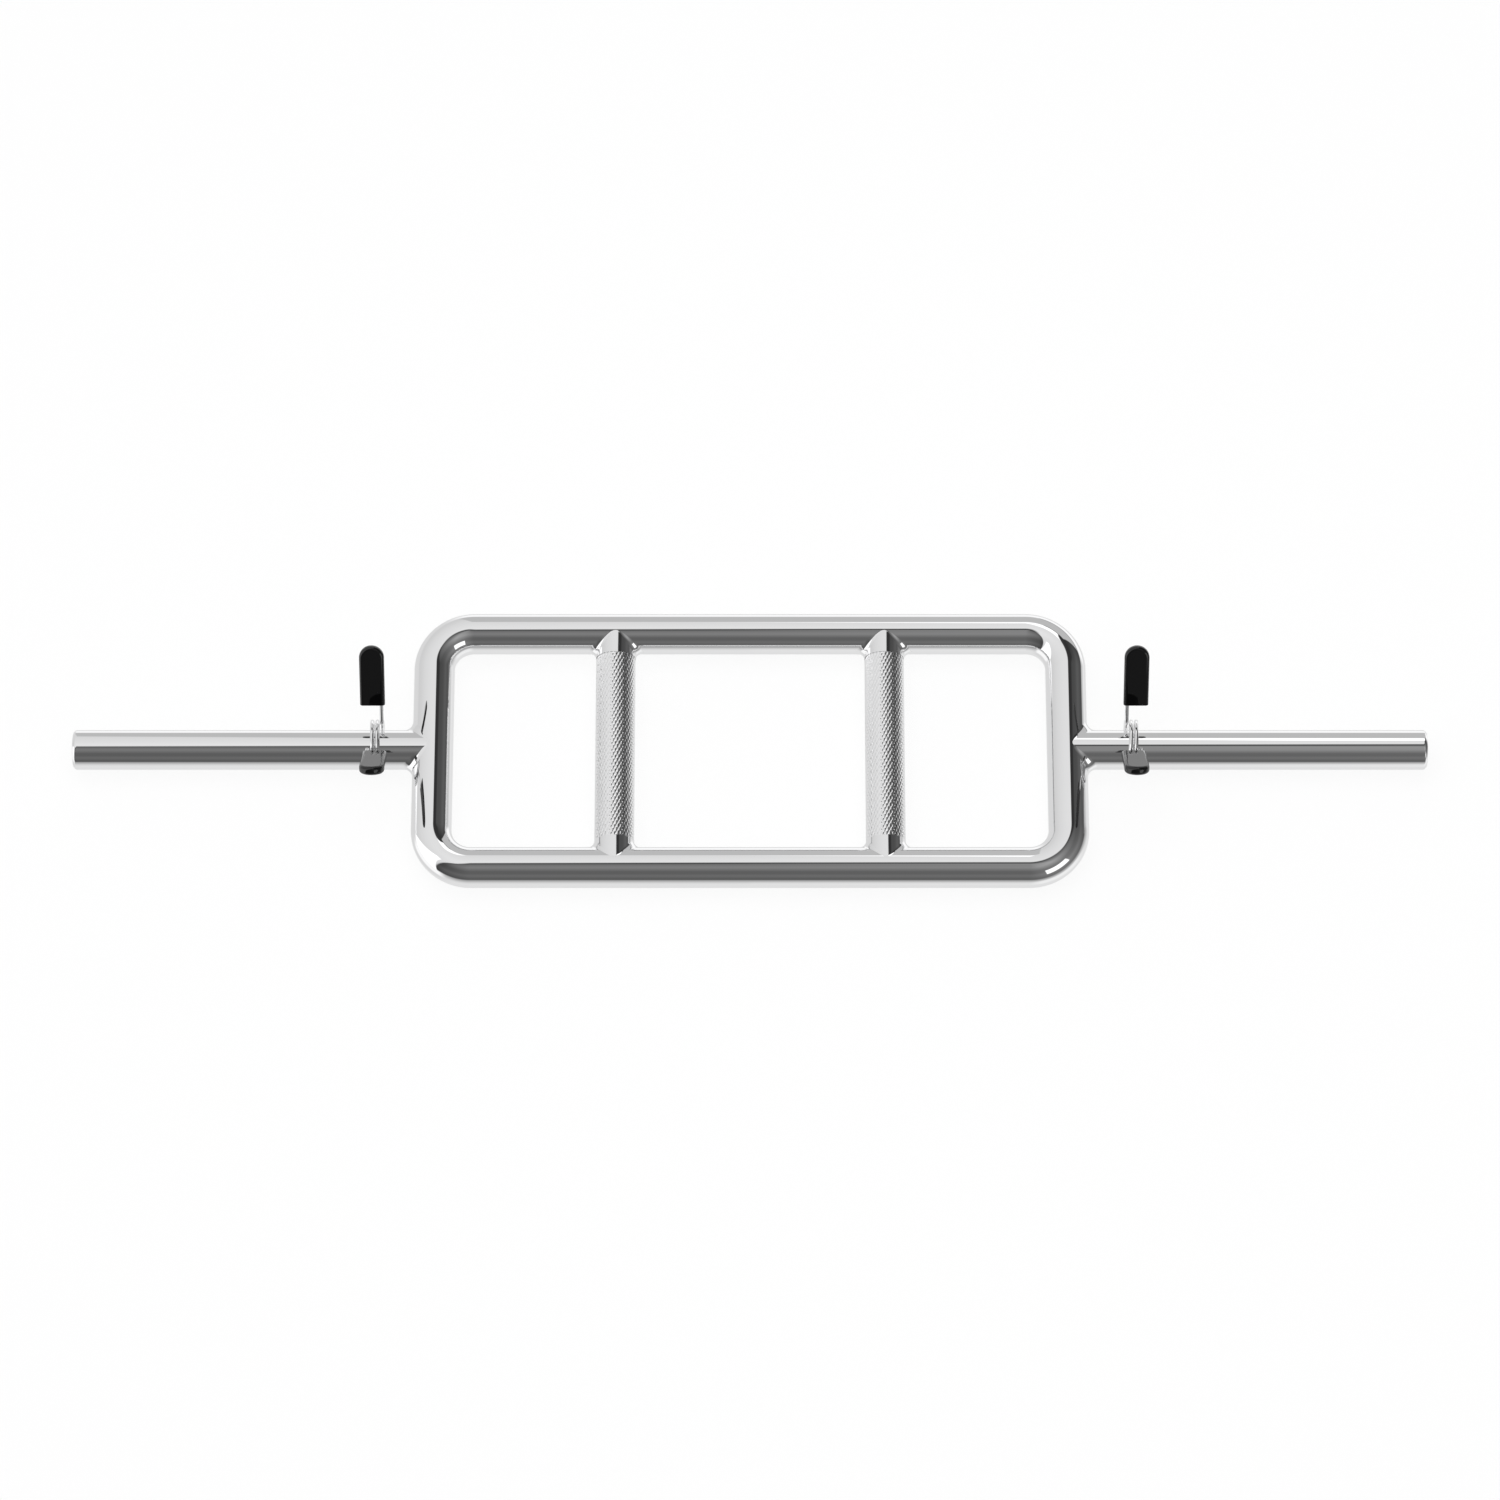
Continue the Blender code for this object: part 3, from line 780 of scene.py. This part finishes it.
handles = (
    ("inner", COIL_LAST_ANGLE, 1, INNER_HANDLE_ANGLE),
    ("outer", COIL_FIRST_ANGLE, -1, OUTER_HANDLE_ANGLE),
)
for label, side in SIDES:
    for end, leave_angle, way, handle_angle in handles:
        paddle = add_paddle(f"{label}_{end}_paddle_fine")
        tail_end = tail_line(leave_angle, way, handle_angle)[-1]
        lift = float(np.dot(tail_end, direction(handle_angle + 90)))
        inward = way * (COIL_LENGTH / 2 - TAIL_SIDE_OFFSET)
        turn = Matrix.Rotation(math.radians(handle_angle), 4, "X")
        seat = Matrix.Translation((-side * inward, PADDLE_START, lift))
        paddle.matrix_world = Matrix.Translation(collar_middle[side]) @ turn @ seat
        bpy.ops.object.transform_apply(location=True, rotation=True, scale=True)
        dress(paddle, black_plastic, f"{label}_{end}_handle", [f"{label}_{end}_paddle"])

# %% [markdown]
# ## The floor
#
# The photograph has a plain white ground. The floor is a plane that the coils' wires touch.
# The camera looks through most of it, to the plain white of the World, so a paddle that is
# turned below it still shows. A small share of ordinary white paint takes the bar's shadow.
# Mirrors look through it to the studio below the horizon, painted as the same pale floor.

# %% Floor
FLOOR_SIZE = 12.0
FLOOR_COLOUR = (0.92, 0.92, 0.92)
SHADOW_SHARE = 0.08
floor_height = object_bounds()[0].z
deselect_all()
bpy.ops.mesh.primitive_plane_add(size=FLOOR_SIZE, location=(0, 0, floor_height))
floor = bpy.context.object
floor.name = "floor"
floor_paint = bpy.data.materials.new("floor_paint")
floor_paint.use_nodes = True
tree = floor_paint.node_tree
tree.nodes.clear()
output = tree.nodes.new("ShaderNodeOutputMaterial")
paint = tree.nodes.new("ShaderNodeBsdfDiffuse")
paint.inputs["Color"].default_value = (*FLOOR_COLOUR, 1.0)
clear = tree.nodes.new("ShaderNodeBsdfTransparent")
rays = tree.nodes.new("ShaderNodeLightPath").outputs
mirrored = calculate(tree, "MAXIMUM", rays["Is Glossy Ray"], rays["Is Transmission Ray"])
painted = calculate(tree, "MULTIPLY", calculate(tree, "SUBTRACT", 1.0, mirrored), SHADOW_SHARE)
clear_or_paint = tree.nodes.new("ShaderNodeMixShader")
tree.links.new(painted, clear_or_paint.inputs["Fac"])
tree.links.new(clear.outputs["BSDF"], clear_or_paint.inputs[1])
tree.links.new(paint.outputs["BSDF"], clear_or_paint.inputs[2])
tree.links.new(clear_or_paint.outputs["Shader"], output.inputs["Surface"])
floor.data.materials.append(floor_paint)
print(f"floor at {1000 * floor_height:.2f} mm")

# %% [markdown]
# ## The studio
#
# Chrome shows the room it stands in, so the room is most of its look. This one has a pale
# floor, a large light wall behind and to the left, a grey wall behind and to the right, and
# a dark side towards the camera's right, with three bright soft boxes. They are painted on
# the World by direction: how far round (0 is +Y, and positive turns towards +X) and how
# high, both in degrees. To the camera itself the World is plain white.

# %% Studio: the helper that paints one soft patch
world = bpy.data.worlds.new("studio")
bpy.context.scene.world = world
world.use_nodes = True
tree = world.node_tree
tree.nodes.clear()
sky = tree.nodes.new("ShaderNodeTexCoord")
split = tree.nodes.new("ShaderNodeSeparateXYZ")
tree.links.new(sky.outputs["Generated"], split.inputs["Vector"])
TO_DEGREES = 180 / math.pi
height = calculate(tree, "MULTIPLY", calculate(tree, "ARCSINE", split.outputs["Z"]), TO_DEGREES)
turn_from_y = calculate(tree, "ARCTAN2", split.outputs["X"], split.outputs["Y"])
around = calculate(tree, "MULTIPLY", turn_from_y, TO_DEGREES)


def rises(value, edge, soft):
    return spread(tree, value, edge - soft / 2, edge + soft / 2, 0.0, 1.0, smooth=True)


def falls(value, edge, soft):
    return spread(tree, value, edge - soft / 2, edge + soft / 2, 1.0, 0.0, smooth=True)


def leaned(lean_per_degree, level):
    """How far round, measured from a side that leans as it rises above a level."""
    if not lean_per_degree:
        return around
    shift = calculate(tree, "MULTIPLY", calculate(tree, "SUBTRACT", height, level), -lean_per_degree)
    return calculate(tree, "ADD", around, shift)


def patch(left, right, low, high, soft_sides, soft_ends, left_lean=0.0, right_lean=0.0):
    """1 inside a patch of the room and 0 outside, with soft edges."""
    middle = (low + high) / 2
    mask = calculate(tree, "MULTIPLY", rises(leaned(left_lean, middle), left, soft_sides),
                     falls(leaned(right_lean, middle), right, soft_sides))
    mask = calculate(tree, "MULTIPLY", mask, rises(height, low, soft_ends))
    return calculate(tree, "MULTIPLY", mask, falls(height, high, soft_ends))


def lay(under, mask, brightness):
    """Paint a brightness over what is there, where the mask is 1."""
    node = tree.nodes.new("ShaderNodeMix")
    node.data_type = "FLOAT"
    tree.links.new(mask, node.inputs["Factor"])
    tree.links.new(under, node.inputs["A"])
    if isinstance(brightness, bpy.types.NodeSocket):
        tree.links.new(brightness, node.inputs["B"])
    else:
        node.inputs["B"].default_value = brightness
    return node.outputs["Result"]


def ramp(value, low, high, stops):
    """A brightness that changes from stop to stop, each given as (place, brightness).

    The two ends come first, because a new ramp already has them.
    """
    node = tree.nodes.new("ShaderNodeValToRGB")
    elements = node.color_ramp.elements
    for number, (at, brightness) in enumerate(stops):
        place = (at - low) / (high - low)
        stop = elements[number] if number < 2 else elements.new(place)
        stop.position = place
        stop.color = (brightness, brightness, brightness, 1.0)
    tree.links.new(spread(tree, value, low, high, 0.0, 1.0), node.inputs["Fac"])
    return node.outputs["Color"]


def above_plane(lean, lift, soft):
    """1 on the far side of a slanted plane through the middle of the room."""
    slant = calculate(tree, "MULTIPLY", split.outputs["X"], -lean)
    rise = calculate(tree, "MULTIPLY", split.outputs["Z"], -lift)
    side = calculate(tree, "ADD", split.outputs["Y"], calculate(tree, "ADD", slant, rise))
    return rises(side, 0.0, soft)


# %% Studio: the dark side
DARK_STRIP = 0.03
dark_by_height = ramp(height, 0, 90, (
    (0, 0.165), (90, 0.23), (20, 0.24), (34, 0.185), (46, 0.19), (67, 0.35), (77, 0.32),
))
dark_by_turn = ramp(around, -180, 180, (
    (-180, 0.60), (180, 0.60), (-140, 0.41), (-120, 0.18), (36, 0.18), (80, 0.55), (120, 1.0),
    (150, 0.88),
))
room = calculate(tree, "MULTIPLY", dark_by_height, dark_by_turn)
dark_strip = patch(30, 50, 42, 66, 8, 10)
room = lay(room, dark_strip, DARK_STRIP)
print("studio: dark side")

# %% Studio: walls and soft boxes
GREY_WALL = 0.485
SOFT_BOX = 1.15
light_wall = ramp(height, 0, 90, ((0, 0.61), (90, 0.80), (14, 0.63), (30, 0.67), (70, 0.735)))
lit = calculate(tree, "MAXIMUM", above_plane(1.45, 0.125, 0.14), above_plane(0.67, 0.125, 0.12))
wall_right_end = falls(split.outputs["X"], 0.20, 0.04)
wall_left_end = rises(around, -126, 4)
lit = calculate(tree, "MULTIPLY", lit, wall_right_end)
lit = calculate(tree, "MULTIPLY", lit, wall_left_end)
room = lay(room, lit, light_wall)
grey_wall = patch(-9, 42, -5, 38, 2, 3, 0.2, -0.45)
room = lay(room, grey_wall, GREY_WALL)
rear_box = patch(4.5, 24, 40.5, 57, 2, 2, 0.57, -0.25)
left_box = patch(-125, -86, -28, 57, 3, 4, 0.22, -0.45)
right_box = patch(115.5, 153, 13.5, 37, 2, 3)
for soft_box in (rear_box, left_box, right_box):
    room = lay(room, soft_box, SOFT_BOX)
print("studio: three soft boxes over", len(tree.nodes), "nodes")

# %% Studio: the pale floor seen in mirrors
PALE_FLOOR = 0.67
LEFT_GLOW = 0.95
REAR_GLOW = 0.96
RIGHT_GLOW = 0.85
floor_value = ramp(height, -90, 0, ((-90, 0.71), (0, 0.28), (-42, 0.745), (-29, 0.65), (-13, 0.38)))
floor_value = lay(floor_value, patch(-140, 40, -60, 2, 40, 10), PALE_FLOOR)
floor_value = lay(floor_value, patch(-138, -82, -34, 4, 14, 14), LEFT_GLOW)
floor_value = lay(floor_value, patch(-14, 62, -34, -7, 20, 10), REAR_GLOW)
floor_value = lay(floor_value, patch(95, 172, -46, -22, 30, 16), RIGHT_GLOW)
below_horizon = falls(height, -8, 9)
room = lay(room, below_horizon, floor_value)
paths = tree.nodes.new("ShaderNodeLightPath")
strength = calculate(tree, "DIVIDE", room, CHROME_COLOUR[0])
strength = lay(strength, paths.outputs["Is Camera Ray"], 1.0)
background = tree.nodes.new("ShaderNodeBackground")
background.inputs["Color"].default_value = (1.0, 1.0, 1.0, 1.0)
tree.links.new(strength, background.inputs["Strength"])
world_output = tree.nodes.new("ShaderNodeOutputWorld")
tree.links.new(background.outputs["Background"], world_output.inputs["Surface"])
print("studio:", len(tree.nodes), "nodes in all")

# %% [markdown]
# ## The lamp
#
# The World alone would leave matt surfaces darker than they are written. One large soft
# lamp overhead brings them to a plain level. It is kept out of mirrors, because the room's
# own soft boxes are what the chrome shows.

# %% Lamp
LAMP_HEIGHT = 2.5
LAMP_SIZE = 2.4
LAMP_POWER = 46
lamp_data = bpy.data.lights.new("overhead_lamp", "AREA")
lamp_data.shape = "SQUARE"
lamp_data.size = LAMP_SIZE
lamp_data.energy = LAMP_POWER
lamp = bpy.data.objects.new("overhead_lamp", lamp_data)
lamp.location = (0, 0, LAMP_HEIGHT)
lamp.visible_glossy = False
bpy.context.scene.collection.objects.link(lamp)
print("lamp:", LAMP_POWER, "W over", LAMP_SIZE, "m")

# %% [markdown]
# ## The camera
#
# The photograph looks down on the bar from in front, 23 degrees off straight down, from
# nearly four metres away with a long lens: that much was found from how the frame's far
# side is smaller than its near side and how its tubes overlap.

# %% Camera
CAMERA_TILT = math.radians(23.16)
CAMERA_DISTANCE = 3.873
CAMERA_LENS = 145.5
CAMERA_SENSOR = 36
camera_data = bpy.data.cameras.new("camera")
camera_data.sensor_width = CAMERA_SENSOR
camera_data.lens = CAMERA_LENS
camera = bpy.data.objects.new("camera", camera_data)
camera.location = (
    0,
    -CAMERA_DISTANCE * math.sin(CAMERA_TILT),
    AXIS_HEIGHT + CAMERA_DISTANCE * math.cos(CAMERA_TILT),
)
camera.rotation_euler = (CAMERA_TILT, 0, 0)
bpy.context.scene.collection.objects.link(camera)
bpy.context.scene.camera = camera
bpy.context.scene.view_settings.view_transform = "Standard"
print("camera at", tuple(round(c, 3) for c in camera.location))
